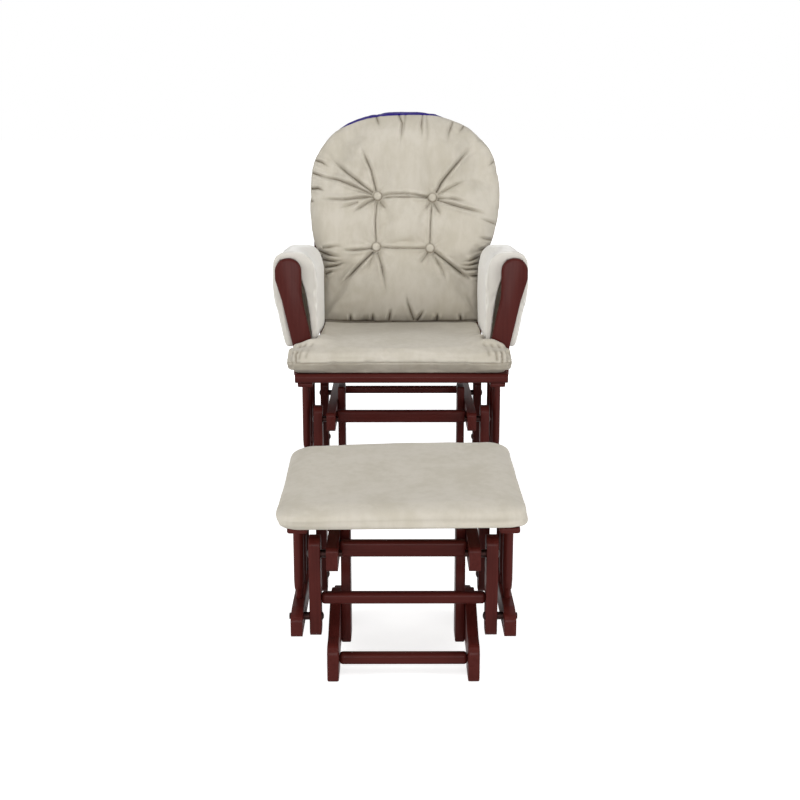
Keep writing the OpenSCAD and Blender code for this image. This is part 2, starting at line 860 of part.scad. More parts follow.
swing_arm(-1, chair_arm_half, chair_y, chair_pivot_z, running_fit);  // chair_front_swing_arm_left
swing_arm(1, chair_arm_half, chair_y, chair_pivot_z, running_fit);  // chair_front_swing_arm_right
swing_arm_rail(chair_arm_half, chair_y, chair_low_z);  // chair_swing_arm_rail
swing_arm(-1, chair_arm_half, chair_y + chair_pitch, chair_pivot_z, loose_fit);  // chair_rear_swing_arm_left
swing_arm(1, chair_arm_half, chair_y + chair_pitch, chair_pivot_z, loose_fit);  // chair_rear_swing_arm_right
swing_arm(-1, stool_arm_half, stool_y, stool_pivot_z, running_fit);  // stool_front_swing_arm_left
swing_arm(1, stool_arm_half, stool_y, stool_pivot_z, running_fit);  // stool_front_swing_arm_right
swing_arm_rail(stool_arm_half, stool_y, stool_low_z);  // stool_swing_arm_rail
swing_arm(-1, stool_arm_half, stool_y + stool_pitch, stool_pivot_z, loose_fit);  // stool_rear_swing_arm_left
swing_arm(1, stool_arm_half, stool_y + stool_pitch, stool_pivot_z, loose_fit);  // stool_rear_swing_arm_right

chair_side_plate(-1);  // chair_side_plate_left
chair_side_plate(1);  // chair_side_plate_right
posts(chair_outer_half, chair_y, chair_pitch, chair_low_z + rail_h / 2, chair_plate_z);  // chair_posts
bottom_rail(-1, chair_outer_half, chair_y, chair_low_z, chair_pitch);  // chair_bottom_rail_left
bottom_rail(1, chair_outer_half, chair_y, chair_low_z, chair_pitch);  // chair_bottom_rail_right
seat_rail(chair_y - seat_front, chair_y - seat_front + seat_rail_w);  // chair_front_rail
seat_rail(chair_y + back_foot + seat_rail_w / 2, chair_y + back_foot - seat_rail_w / 2);  // chair_rear_rail
seat_slats();
arm_support(-1);  // arm_support_left
arm_support(1);  // arm_support_right
armrest(-1);  // armrest_left
armrest(1);  // armrest_right
back_hoop();
back_slats();
chair_lower_pivots("bolt");  // chair_lower_bolts
chair_lower_pivots("bearing");  // chair_lower_bearings
seat_cushion();
back_cushion();
covered_buttons();
arm_pad(-1);  // arm_pad_left
arm_pad(1);  // arm_pad_right

stool_side_plate(-1);  // stool_side_plate_left
stool_side_plate(1);  // stool_side_plate_right
posts(stool_outer_half, stool_y, stool_pitch, stool_low_z + rail_h / 2, stool_plate_z);  // stool_posts
bottom_rail(-1, stool_outer_half, stool_y, stool_low_z, stool_pitch);  // stool_bottom_rail_left
bottom_rail(1, stool_outer_half, stool_y, stool_low_z, stool_pitch);  // stool_bottom_rail_right
stool_seat_board();
stool_pad();
stool_lower_pivots("bolt");  // stool_lower_bolts
stool_lower_pivots("bearing");  // stool_lower_bearings
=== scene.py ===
"""Glider nursery chair with its gliding footstool.

Upholstery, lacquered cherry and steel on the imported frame.
"""

import json
import math

import bpy
import numpy as np
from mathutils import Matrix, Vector


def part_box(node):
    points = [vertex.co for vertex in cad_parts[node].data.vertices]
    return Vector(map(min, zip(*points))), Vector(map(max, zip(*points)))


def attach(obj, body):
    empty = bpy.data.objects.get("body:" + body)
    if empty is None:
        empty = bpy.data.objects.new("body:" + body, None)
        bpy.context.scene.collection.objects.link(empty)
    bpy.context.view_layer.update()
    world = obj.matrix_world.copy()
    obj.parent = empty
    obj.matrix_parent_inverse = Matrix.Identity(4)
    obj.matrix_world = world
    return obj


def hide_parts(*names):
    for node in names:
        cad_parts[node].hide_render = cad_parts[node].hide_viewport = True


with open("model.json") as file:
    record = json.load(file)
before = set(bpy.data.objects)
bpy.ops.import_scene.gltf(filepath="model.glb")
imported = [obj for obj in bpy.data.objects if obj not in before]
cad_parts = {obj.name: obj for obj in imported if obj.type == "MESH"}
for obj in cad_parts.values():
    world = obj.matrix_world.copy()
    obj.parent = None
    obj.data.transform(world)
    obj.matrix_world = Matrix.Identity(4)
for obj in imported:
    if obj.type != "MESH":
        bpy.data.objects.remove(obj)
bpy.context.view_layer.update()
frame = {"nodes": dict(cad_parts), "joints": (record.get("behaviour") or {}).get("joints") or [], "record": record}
bpy.ops.object.select_all(action="DESELECT")

NODES = frame["nodes"]
JOINT_AT = {joint["name"]: Vector(joint["pos_m"]) for joint in frame["joints"]}
CHAIR_Y = JOINT_AT["chair_glide"].y

# The back: where its foot stands on the seat frame, and how far it leans
RECLINE = math.radians(12)
BACK_FOOT_Y = CHAIR_Y + 0.425
SEAT_TOP_Z = 0.415

LEFT, RIGHT = -1, 1


# ---- Materials ----


class Wire:
    """The output of a shader node. Sums and products of it add Math nodes."""

    def __init__(self, finish, socket):
        self.finish = finish
        self.socket = socket

    def math(self, operation, *others):
        node = self.finish.node("ShaderNodeMath", {"operation": operation}, self, *others)
        return node.out()

    def __add__(self, other):
        return self.math("ADD", other)

    def __mul__(self, other):
        return self.math("MULTIPLY", other)

    __radd__ = __add__
    __rmul__ = __mul__


class Step:
    """A shader node whose outputs are picked by name or place."""

    def __init__(self, finish, node):
        self.finish = finish
        self.node = node

    def out(self, which=0):
        return Wire(self.finish, self.node.outputs[which])


class Finish:
    """One material, built around a Principled shader."""

    def __init__(self, name, **constants):
        self.material = bpy.data.materials.new(name)
        self.material.use_nodes = True
        self.tree = self.material.node_tree
        self.shader = self.tree.nodes["Principled BSDF"]
        for socket, value in constants.items():
            self.shader.inputs[socket.replace("_", " ")].default_value = value

    def node(self, kind, settings=None, *places, **names):
        """Adds a node: its settings first, then the values or wires of its sockets by place and by name."""
        made = self.tree.nodes.new(kind)
        for key, value in (settings or {}).items():
            setattr(made, key, value)
        for socket, value in [*enumerate(places), *((n.replace("_", " "), v) for n, v in names.items())]:
            self.join(made.inputs[socket], value)
        return Step(self, made)

    def join(self, socket, value):
        if isinstance(value, Wire):
            self.tree.links.new(value.socket, socket)
        else:
            socket.default_value = value

    def place(self, scale=(1, 1, 1), turn=(0, 0, 0)):
        """The piece's own coordinates in metres, stretched and turned."""
        where = self.node("ShaderNodeTexCoord").out("Object")
        return self.node("ShaderNodeMapping", None, Vector=where, Scale=scale, Rotation=turn).out()

    def noise(self, where, scale, detail=3.0, rough=0.5, warp=0.0):
        step = self.node("ShaderNodeTexNoise", None, Vector=where, Scale=scale, Detail=detail,
                         Roughness=rough, Distortion=warp)
        return step.out("Fac")

    def blend(self, factor, first, second):
        """A colour between two colours."""
        step = self.node("ShaderNodeMix", {"data_type": "RGBA"})
        for socket, value in ((0, factor), (6, first), (7, second)):
            if not isinstance(value, Wire) and socket:
                value = (*value, 1)
            self.join(step.node.inputs[socket], value)
        return step.out(2)

    def ramp(self, factor, *stops):
        """A smooth value between stops of (place, value)."""
        step = self.node("ShaderNodeMapRange", {"interpolation_type": "SMOOTHSTEP"}, factor, *stops)
        return step.out()

    def feed(self, **sockets):
        for socket, value in sockets.items():
            self.join(self.shader.inputs[socket.replace("_", " ")], value)

    def bump(self, height, strength, distance, under=None):
        names = {"Strength": strength, "Distance": distance, "Height": height}
        if under is not None:
            names["Normal"] = under
        return self.node("ShaderNodeBump", None, **names).out()


def lacquered_cherry(name, along):
    """Dark cherry stain under satin lacquer, with its grain along one axis."""
    finish = Finish(name, Roughness=0.42, Specular_IOR_Level=0.02, Coat_Weight=0.12, Coat_Roughness=0.24)
    fine = [260.0, 260.0, 260.0]
    fine[along] = 9.0
    broad = [34.0, 34.0, 34.0]
    broad[along] = 2.2
    fibre = finish.noise(finish.place(scale=fine), 1.0, detail=2.0, rough=0.6)
    figure = finish.noise(finish.place(scale=broad), 1.0, detail=4.0, rough=0.55, warp=0.6)
    tone = finish.ramp(fibre * 0.45 + figure * 0.55, 0.36, 0.64)
    colour = finish.blend(tone, (0.056, 0.0086, 0.0066), (0.069, 0.0124, 0.0098))
    finish.feed(Base_Color=colour, Roughness=0.38 + 0.12 * figure,
                Normal=finish.bump(fibre, 0.10, 0.0004))
    return finish.material


def brushed_microfibre(name, colour, shaded, rim=None, sheen=0.15):
    """Short napped upholstery: soft patches where the nap lies another way, over a fine pile.

    Painted shade darkens the cloth wherever a piece marks it in the fold attribute, and one edge may be dyed in a
    second colour.
    """
    finish = Finish(name, Roughness=0.88, Specular_IOR_Level=0.15, Sheen_Weight=sheen,
                    Sheen_Roughness=0.45)
    where = finish.place()
    patches = finish.noise(where, 9.0, detail=4.0, rough=0.55, warp=0.8)
    streaks = finish.noise(finish.place(scale=(1.0, 1.0, 0.35)), 60.0, detail=3.0, rough=0.6)
    pile = finish.noise(where, 900.0, detail=2.0, rough=0.7)
    nap = finish.ramp(patches * 0.6 + streaks * 0.4, 0.34, 0.66)
    cloth = finish.blend(nap, shaded, colour)
    cloth = finish.blend(pile * 0.16, cloth, tuple(0.62 * c for c in shaded))
    # Painted shade: the fold attribute darkens the cloth in folds, seams, recesses and along contact lines
    painted_shade = finish.node("ShaderNodeAttribute", {"attribute_name": "fold"}).out("Fac")
    cloth = finish.blend(painted_shade, cloth, tuple(0.30 * c * tint for c, tint in zip(shaded, (1.0, 0.88, 0.72))))
    if rim:
        dyed = finish.node("ShaderNodeAttribute", {"attribute_name": "rim"}).out("Fac")
        cloth = finish.blend(dyed, cloth, rim)
    soft = finish.bump(patches * 0.6 + streaks * 0.4, 0.25, 0.0015)
    finish.feed(Base_Color=cloth, Roughness=0.80 + 0.14 * pile,
                Normal=finish.bump(pile, 0.30, 0.0004, under=soft))
    return finish.material


def steel(name, colour, rough):
    """Turned steel with faint rings of tool marks."""
    finish = Finish(name, Metallic=1.0, Specular_IOR_Level=0.5)
    marks = finish.noise(finish.place(), 700.0, detail=2.0, rough=0.6)
    finish.feed(Base_Color=finish.blend(marks, tuple(0.8 * c for c in colour), colour),
                Roughness=rough + 0.12 * marks, Normal=finish.bump(marks, 0.08, 0.0002))
    return finish.material


def bare_plywood(name):
    """The rotary cut face of the board under the footstool's pad."""
    finish = Finish(name, Roughness=0.7)
    grain = finish.noise(finish.place(scale=(3.0, 60.0, 60.0)), 1.0, detail=5.0, rough=0.6, warp=1.2)
    face = finish.blend(finish.ramp(grain, 0.35, 0.65), (0.30, 0.20, 0.11), (0.50, 0.37, 0.22))
    finish.feed(Base_Color=face, Normal=finish.bump(grain, 0.2, 0.0005))
    return finish.material


CHERRY = [lacquered_cherry("cherry_along_" + "xyz"[axis], axis) for axis in range(3)]
BEIGE, BEIGE_SHADED = (0.580, 0.540, 0.466), (0.508, 0.468, 0.388)
CLOTH = brushed_microfibre("beige_microfibre", BEIGE, BEIGE_SHADED)
BACK_CLOTH = brushed_microfibre("beige_microfibre_indigo_rim", BEIGE, BEIGE_SHADED, rim=(0.012, 0.0001, 0.17))
# A paler copy of the beige cloth: painted light, standing in for the brighter light on the arm sleeves
ARM_CLOTH = brushed_microfibre("beige_microfibre_painted_lit", (0.885, 0.864, 0.812), (0.850, 0.826, 0.768),
                               sheen=0.6)
BLACK_STEEL = steel("blackened_steel", (0.040, 0.020, 0.018), 0.42)
GROUND_STEEL = steel("ground_steel", (0.56, 0.56, 0.58), 0.25)
PLYWOOD = bare_plywood("birch_plywood")


# ---- Helpers for shaping ----


def only(piece):
    bpy.ops.object.select_all(action="DESELECT")
    piece.select_set(True)
    bpy.context.view_layer.objects.active = piece


def points(piece):
    flat = np.empty(len(piece.data.vertices) * 3)
    piece.data.vertices.foreach_get("co", flat)
    return flat.reshape(-1, 3)


def put_points(piece, moved):
    piece.data.vertices.foreach_set("co", np.asarray(moved, float).ravel())
    piece.data.update()


def apply_all(piece):
    only(piece)
    for modifier in list(piece.modifiers):
        bpy.ops.object.modifier_apply(modifier=modifier.name)


def merged_copy(node, name):
    """A copy of a CAD node's mesh, its loose triangles joined."""
    piece = bpy.data.objects.new(name, NODES[node].data.copy())
    bpy.context.scene.collection.objects.link(piece)
    only(piece)
    bpy.ops.object.mode_set(mode="EDIT")
    bpy.ops.mesh.select_all(action="SELECT")
    bpy.ops.mesh.remove_doubles(threshold=0.00002)
    bpy.ops.mesh.dissolve_limited(angle_limit=math.radians(0.5))
    bpy.ops.object.mode_set(mode="OBJECT")
    return piece


def dress(piece, material, smooth=35):
    piece.data.materials.clear()
    piece.data.materials.append(material)
    only(piece)
    bpy.ops.object.shade_smooth_by_angle(angle=math.radians(smooth))


def smoothstep(x):
    x = np.clip(x, 0.0, 1.0)
    return x * x * (3 - 2 * x)


def ripple(where, scale, seed):
    """Smooth pseudo-random values from about -1 to 1, the same on each run."""
    rng = np.random.default_rng(seed)
    total = np.zeros(len(where))
    for _ in range(7):
        direction = rng.normal(size=3)
        direction /= np.linalg.norm(direction)
        total += np.sin(where @ direction * scale * rng.uniform(0.6, 1.5) + rng.uniform(0, 6.28))
    return total / 3.2


# ---- Wood ----

ACROSS, DEEP, UPRIGHT = 0, 1, 2
TUCKED = ("armrest_left", "armrest_right")
HEAD_TUCK = 0.017

# How far edges are rounded, in metres: most boards, and those that differ. A broad rounding has more steps.
EASED_ELSEWHERE = 0.0026
BROAD_ROUNDING = 0.006
EASED = {
    "arm_support_left": 0.0050, "arm_support_right": 0.0050,
    "chair_posts": 0.0008, "stool_posts": 0.0008,
    "chair_low_stretcher": 0.0085, "stool_low_stretcher": 0.0085,
    "chair_swing_arm_rail": 0.0085, "stool_swing_arm_rail": 0.0085,
    "chair_front_cross_rail": 0.0095, "stool_front_cross_rail": 0.0095,
    "chair_rear_cross_rail": 0.0060, "stool_rear_cross_rail": 0.0060,
    "chair_front_rail": 0.0070, "chair_rear_rail": 0.0018,
    "back_slats": 0.0020, "seat_slats": 0.0020
}


def grain_axis(node):
    if any(word in node for word in ("cross_rail", "stretcher", "swing_arm_rail", "front_rail", "rear_rail",
                                     "seat_slats")):
        return ACROSS
    if any(word in node for word in ("upright", "swing_arm", "posts", "support", "hoop", "back_slats")):
        return UPRIGHT
    return DEEP


def tuck_front_corner(piece):
    """Draws the inner front corner of an armrest board in behind the round head of its support."""
    where = points(piece)
    inner = np.abs(where[:, 0]).min()
    corner = (where[:, 1] < where[:, 1].min() + 0.004) & (np.abs(where[:, 0]) < inner + 0.002)
    where[corner, 0] += np.sign(where[corner, 0]) * HEAD_TUCK
    put_points(piece, where)


def ease_edges(node, body, radius):
    """A board with its sharp edges taken off by a router."""
    piece = merged_copy(node, node + "_board")
    if node in TUCKED:
        tuck_front_corner(piece)
    rounding = piece.modifiers.new("ease", "BEVEL")
    rounding.width = radius
    rounding.segments = 3 if radius < BROAD_ROUNDING else 6
    rounding.limit_method = "ANGLE"
    rounding.angle_limit = math.radians(38)
    rounding.harden_normals = False
    apply_all(piece)
    dress(piece, CHERRY[grain_axis(node)], 40)
    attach(piece, body)
    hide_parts(node)
    return piece


BODY_OF = {node: body for body, nodes in frame["record"]["behaviour"]["bodies"].items() for node in nodes}
SLOT_OF = {part["node"]: part["material_slot"] for part in frame["record"]["subparts"]}
BARE_FINISH = {"dark_steel": BLACK_STEEL, "bright_steel": GROUND_STEEL, "plywood": PLYWOOD}

for node, slot in SLOT_OF.items():
    if slot == "wood":
        ease_edges(node, BODY_OF[node], EASED.get(node, EASED_ELSEWHERE))
    elif slot in BARE_FINISH:
        NODES[node].data.materials.clear()
        NODES[node].data.materials.append(BARE_FINISH[slot])


# ---- Soft pieces ----


def remesh(piece, voxel):
    grid = piece.modifiers.new("grid", "REMESH")
    grid.mode = "VOXEL"
    grid.voxel_size = voxel
    apply_all(piece)


def relax(piece, times):
    smooth = piece.modifiers.new("relax", "SMOOTH")
    smooth.iterations = times
    smooth.factor = 0.5
    apply_all(piece)


def refine(piece):
    finer = piece.modifiers.new("refine", "SUBSURF")
    finer.levels = 1
    finer.render_levels = 1
    apply_all(piece)


def swell(piece, cap, held, pressure=4.0, spare=0.0, stiff=12.0, frames=20):
    """Fills the cover with a cloth simulation. Points in held stay, and no point moves further than cap."""
    start = points(piece)
    group = piece.vertex_groups.new(name="held")
    group.add([int(i) for i in held], 1.0, "REPLACE")
    cloth = piece.modifiers.new("fill", "CLOTH")
    cover = cloth.settings
    cover.quality = 4
    cover.mass = 0.3
    cover.tension_stiffness = stiff
    cover.compression_stiffness = stiff
    cover.shear_stiffness = stiff / 2
    cover.bending_stiffness = 0.4
    cover.use_pressure = True
    cover.uniform_pressure_force = pressure
    cover.effector_weights.gravity = 0
    cover.vertex_group_mass = "held"
    cover.shrink_min = -spare
    cloth.point_cache.frame_start = 1
    cloth.point_cache.frame_end = frames
    scene = bpy.context.scene
    for moment in range(1, frames + 1):
        scene.frame_set(moment)
    filled = piece.evaluated_get(bpy.context.evaluated_depsgraph_get())
    step = points(filled) - start
    piece.modifiers.remove(cloth)
    scene.frame_set(1)
    length = np.linalg.norm(step, axis=1, keepdims=True)
    put_points(piece, start + step * np.minimum(1.0, cap / np.maximum(length, 1e-9)))


def mark(piece, name, amount):
    """Stores a value from 0 to 1 at each point, for the cloth to be coloured by."""
    layer = piece.data.attributes.get(name) or piece.data.attributes.new(name, "FLOAT", "POINT")
    layer.data.foreach_set("value", np.clip(np.asarray(amount, np.float32), 0, 1))


def finish_soft(piece, body, fill, *nodes, material=None):
    dress(piece, material or CLOTH, 180)
    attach(piece, body)
    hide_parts(*nodes)


def to_back(where):
    """From the frame of the set to the back's own: across, up along it, and forward of its face."""
    y = where[:, 1] - BACK_FOOT_Y
    z = where[:, 2] - SEAT_TOP_Z
    c, s = math.cos(RECLINE), math.sin(RECLINE)
    return np.stack([where[:, 0], y * s + z * c, z * s - y * c], axis=1)


def from_back(local):
    c, s = math.cos(RECLINE), math.sin(RECLINE)
    u, w, v = local[:, 0], local[:, 1], local[:, 2]
    return np.stack([u, BACK_FOOT_Y + w * s - v * c, SEAT_TOP_Z + w * c + v * s], axis=1)


def off_line(across, up, line):
    """Distance from each point to a line of points, and how far along the line its nearest place is."""
    best = np.full(len(across), 1e9)
    along = np.zeros(len(across))
    lengths = [math.dist(a, b) for a, b in zip(line, line[1:])]
    total = sum(lengths)
    gone = 0.0
    for (ax, ay), (bx, by), length in zip(line, line[1:], lengths):
        t = np.clip(((across - ax) * (bx - ax) + (up - ay) * (by - ay)) / length**2, 0, 1)
        distance = np.hypot(across - ax - t * (bx - ax), up - ay - t * (by - ay))
        nearer = distance < best
        best[nearer] = distance[nearer]
        along[nearer] = (gone + t[nearer] * length) / total
        gone += length
    return best, along


def fold_depth(across, up, line, depth, width, rise=0.35, fade=(0.12, 0.55)):
    """A sewn-in fold: a sharp valley between two soft ridges that fades out at its ends, in millimetres."""
    distance, along = off_line(across, up, line)
    taper = smoothstep(along / max(fade[0], 1e-3)) * smoothstep((1 - along) / max(fade[1], 1e-3))
    valley = np.exp(-((distance / width) ** 1.3))
    ridge = np.exp(-(((distance - 2.6 * width) / (1.7 * width)) ** 2))
    return depth * taper * (rise * ridge - valley)


# Covered buttons on the back, in millimetres across and up along it
BUTTONS = [(-65, 389), (89, 385), (-69, 247), (82, 243)]

# Folds of the back cushion's cover: line, depth, width. From the buttons outward first.
BUTTON_FOLDS = [
    ([(-69, 402), (-82, 460), (-105, 512), (-115, 536)], 6.0, 4.2),
    ([(-76, 398), (-109, 422), (-149, 454), (-181, 482), (-204, 502)], 7.0, 4.4),
    ([(-79, 394), (-129, 416), (-173, 434), (-213, 442), (-248, 458)], 7.5, 4.2),
    ([(-79, 391), (-105, 400), (-143, 406)], 5.0, 3.6),
    ([(-78, 387), (-105, 385), (-161, 379), (-205, 381), (-243, 381)], 6.5, 4.0),
    ([(-75, 381), (-93, 371), (-137, 341)], 6.0, 4.4),
    ([(103, 394), (155, 420), (191, 436)], 4.5, 4.4),
    ([(99, 398), (113, 426), (151, 474), (205, 536)], 7.5, 4.8),
    ([(103, 383), (147, 381), (191, 371)], 5.5, 4.0),
    ([(101, 379), (171, 357), (211, 347), (247, 337)], 7.5, 4.4),
    ([(93, 372), (113, 333)], 5.5, 4.6),
    ([(82, 372), (66, 350)], 5.0, 4.6),
    ([(-58, 374), (-40, 352)], 5.0, 5.0),
    ([(-80, 243), (-121, 239), (-169, 237)], 7.0, 4.0),
    ([(-77, 235), (-109, 203), (-141, 169), (-177, 137)], 9.0, 4.6),
    ([(-65, 233), (-53, 195), (-45, 151)], 6.0, 4.8),
    ([(-72, 233), (-85, 207), (-97, 175)], 4.0, 4.6),
    ([(93, 235), (131, 205), (171, 173), (213, 147)], 10.0, 4.6),
    ([(89, 231), (119, 179), (131, 143)], 4.5, 5.0),
    ([(76, 231), (53, 199)], 4.5, 5.0),
]
PAIR_FOLDS = [
    ([(-54, 390), (-30, 395), (9, 396), (40, 393), (78, 387)], 6.5, 3.6),
    ([(-54, 384), (-21, 387), (63, 386), (77, 384)], 6.5, 3.4),
    ([(-66, 377), (-71, 323), (-70, 259)], 5.0, 3.4),
    ([(87, 373), (83, 311), (82, 255)], 5.0, 3.4),
    ([(-57, 246), (-21, 244), (23, 244), (70, 243)], 6.0, 3.4),
]
EDGE_FOLDS = [
    ([(-246, 492), (-222, 484), (-196, 466)], 7.0, 4.0),
    ([(-256, 458), (-225, 446), (-200, 440)], 7.5, 4.2),
    ([(-252, 410), (-232, 411), (-208, 402)], 10.0, 4.4),
    ([(-256, 378), (-240, 372)], 8.0, 4.4),
    ([(-117, 373), (-149, 361), (-183, 353)], 3.5, 4.4),
    ([(-221, 243), (-181, 249), (-157, 247)], 5.0, 4.4),
    ([(-236, 238), (-201, 225), (-161, 218)], 9.0, 4.4),
    ([(-222, 212), (-185, 206), (-157, 208)], 8.0, 4.4),
    ([(-216, 190), (-181, 195), (-149, 204)], 9.0, 4.4),
    ([(-214, 170), (-185, 183)], 8.0, 4.6),
    ([(245, 244), (207, 231)], 8.0, 4.2),
    ([(232, 224), (195, 208), (167, 205)], 9.0, 4.4),
    ([(226, 204), (191, 195), (159, 196)], 9.0, 4.4),
    ([(222, 186), (183, 183), (151, 191)], 8.0, 4.4),
    ([(220, 166), (187, 165)], 9.0, 4.8),
    ([(270, 263), (235, 269), (211, 276)], 6.0, 4.2),
    ([(272, 308), (239, 320), (211, 331)], 4.5, 4.6),
    ([(268, 492), (243, 470)], 5.0, 4.6),
    ([(38, 40), (21, 87), (13, 127)], 7.0, 5.6),
    ([(45, 40), (67, 76)], 9.0, 4.6),
    ([(-34, 40), (-27, 80)], 9.0, 4.6),
    ([(-53, 195), (-45, 149), (-39, 105)], 3.0, 6.0),
    ([(-79, 38), (-78, 66)], 10.0, 4.4),
    ([(101, 38), (103, 66)], 10.0, 4.4),
    ([(-141, 38), (-142, 64)], 9.0, 4.4),
    ([(169, 38), (166, 64)], 9.0, 4.4),
    ([(-6, 618), (4, 592), (2, 560), (-2, 520)], 5.0, 4.4),
    ([(14, 618), (9, 585), (7, 545)], 2.8, 5.0),
    ([(61, 617), (58, 585), (60, 540)], 4.4, 4.4),
    ([(72, 618), (76, 570), (72, 515)], 2.2, 6.0),
    ([(147, 601), (134, 563), (132, 530)], 4.0, 5.0),
    ([(178, 588), (161, 560)], 4.5, 4.6),
    ([(-68, 610), (-57, 578)], 4.5, 4.6),
]

# Each set of folds, how it fades at its two ends, and the depth in millimetres at which its painted shade is
# darkest
FOLD_SETS = (
    (BUTTON_FOLDS, (0.02, 0.45), 14),
    (PAIR_FOLDS, (0.03, 0.03), 14),
    (EDGE_FOLDS, (0.05, 0.7), 10),
)

# The places of buttons and folds are given on a flat sheet this far forward of the back's face.
# The cover bulges on both sides of it, and a place moves down the back as it comes forward.
SHEET_AT = 0.100
RIM_SHEET_AT = 0.045
SLIP = 0.13


def on_sheet(local, sheet=SHEET_AT):
    """Where each point lies on the flat sheet, in millimetres across and up."""
    return local[:, 0] * 1000, (local[:, 1] + SLIP * (local[:, 2] - sheet)) * 1000


def tuft(local):
    """How far the buttons pull the cover in, in millimetres."""
    across, up = on_sheet(local)
    depth = np.zeros(len(local))
    for x, z in BUTTONS:
        away = np.hypot(across - x, up - z)
        depth -= 14 * np.exp(-away / 16) + 13 * np.exp(-((away / 62) ** 2))
    return depth


def off_buttons(across, up, widen=1.0, drop=0.0):
    """Distance to the nearest button, or to an oval that is wider than it and lies below it."""
    return np.min([np.hypot((across - x) / widen, up - z + drop) for x, z in BUTTONS], axis=0)


def radial_gathers(local):
    """The many small folds that fan out of each button."""
    across, up = on_sheet(local)
    height = np.zeros(len(local))
    for i, (x, z) in enumerate(BUTTONS):
        away = np.hypot(across - x, up - z)
        turn = np.arctan2(up - z, across - x)
        strength = 2.0 * smoothstep((away - 8) / 12) * np.exp(-((away / 48) ** 1.6))
        height += strength * (np.sin(11 * turn + i) * 0.6 + np.sin(17 * turn + 2.1 * i) * 0.4)
    return height


# Outline of the filled back cushion, in millimetres across and up along the back
OUTLINE = [
    (236, 238), (247, 244), (258, 268), (268, 305), (277, 353), (281, 394), (279, 434), (274, 463),
    (266, 499), (251, 531), (228, 557), (194, 586), (166, 601), (121, 617), (80, 626), (40, 631),
    (12, 632), (-25, 631), (-57, 627), (-94, 621), (-122, 612), (-151, 599), (-175, 584), (-197, 566),
    (-217, 543), (-232, 521), (-244, 497), (-251, 471), (-254, 440), (-255, 394), (-256, 350), (-253, 325),
    (-249, 289), (-243, 264), (-236, 244), (-225, 226), (-223, 150), (-224, 84), (-223, 52), (-200, 46),
    (-100, 46), (0, 46), (100, 46), (200, 46), (223, 52), (224, 84), (223, 150), (225, 222)
]
OUTLINE_CENTRE = (6, 330)

# Lower edge of the indigo rim that shows behind the top of the cushion
RIM_EDGE = [(-190, 577), (-169, 585), (-151, 592), (-122, 603), (-94, 611), (-57, 617), (-25, 619), (24, 621),
            (52, 621), (80, 620), (105, 618), (135, 613)]


SECTORS = 240


def edge_reach(turn, reach):
    """How far out the edge lies in the direction of each point, from the furthest point of each sector."""
    sector = ((turn + math.pi) / (2 * math.pi) * SECTORS).astype(int) % SECTORS
    widest = np.zeros(SECTORS)
    np.maximum.at(widest, sector, reach)
    middles = (np.arange(SECTORS) + 0.5) / SECTORS * 2 * math.pi - math.pi
    return np.interp(turn, middles, widest, period=2 * math.pi)


def to_outline(local):
    """Draws the cushion's edge out or in to the outline, and all within it in proportion."""
    cx, cy = OUTLINE_CENTRE
    across, up = local[:, 0] * 1000 - cx, local[:, 1] * 1000 - cy
    turn, reach = np.arctan2(up, across), np.hypot(across, up)
    wanted = np.array([(math.atan2(y - cy, x - cx), math.hypot(x - cx, y - cy)) for x, y in OUTLINE])
    wanted = wanted[np.argsort(wanted[:, 0])]
    here = edge_reach(turn, reach)
    target = np.interp(turn, wanted[:, 0], wanted[:, 1], period=2 * math.pi)
    full = local.copy()
    full[:, 0] = (cx + across * target / here) / 1000
    full[:, 1] = (cy + up * target / here) / 1000
    return full


def fit_depth(local, nearest, furthest):
    v = local[:, 2]
    local[:, 2] = nearest + (v - v.min()) / (v.max() - v.min()) * (furthest - nearest)
    return local


def rest_on_seat(local):
    """Lets the cushion's lower end down on to the seat cushion, which is level, not square to the back."""
    local[:, 1] -= math.tan(RECLINE) * local[:, 2] * (1 - smoothstep((local[:, 1] - 0.06) / 0.16))
    return local


def fold_relief(local):
    """Height of all the folds in millimetres, and the painted shade that darkens the cloth in them."""
    across, up = on_sheet(local)
    height = radial_gathers(local) + 0.45 * tuft(local)
    dark = np.zeros(len(local))
    for lines, fade, darkest in FOLD_SETS:
        for line, deep, width in lines:
            height += fold_depth(across, up, line, 1.6 * deep, 0.75 * width, fade=fade)
            # Painted shade in the crease, deeper where the fold is deeper
            crease = -fold_depth(across, up, line, 1.5 * deep, 0.48 * width, rise=0, fade=fade)
            dark = np.maximum(dark, crease / darkest)
    return height, dark


def back_shading(local):
    """Painted shade on the cover low down, where it meets the seat, beside the arms and round the buttons."""
    across, up = on_sheet(local)
    low_down = 0.22 * smoothstep((120 - up) / 90)
    contact = 0.95 * smoothstep((68 - local[:, 1] * 1000 - 231 * local[:, 2]) / 9)
    beside_arms = 0.50 * smoothstep((np.abs(across) - 188) / 34) * smoothstep((215 - up) / 60)
    ring = 0.85 * np.exp(-(((off_buttons(across, up) - 11) / 3.0) ** 2))
    below_button = 0.34 * np.exp(-((off_buttons(across, up, widen=1.2, drop=14) / 18) ** 2))
    return np.maximum.reduce([low_down, contact, beside_arms, ring, below_button])


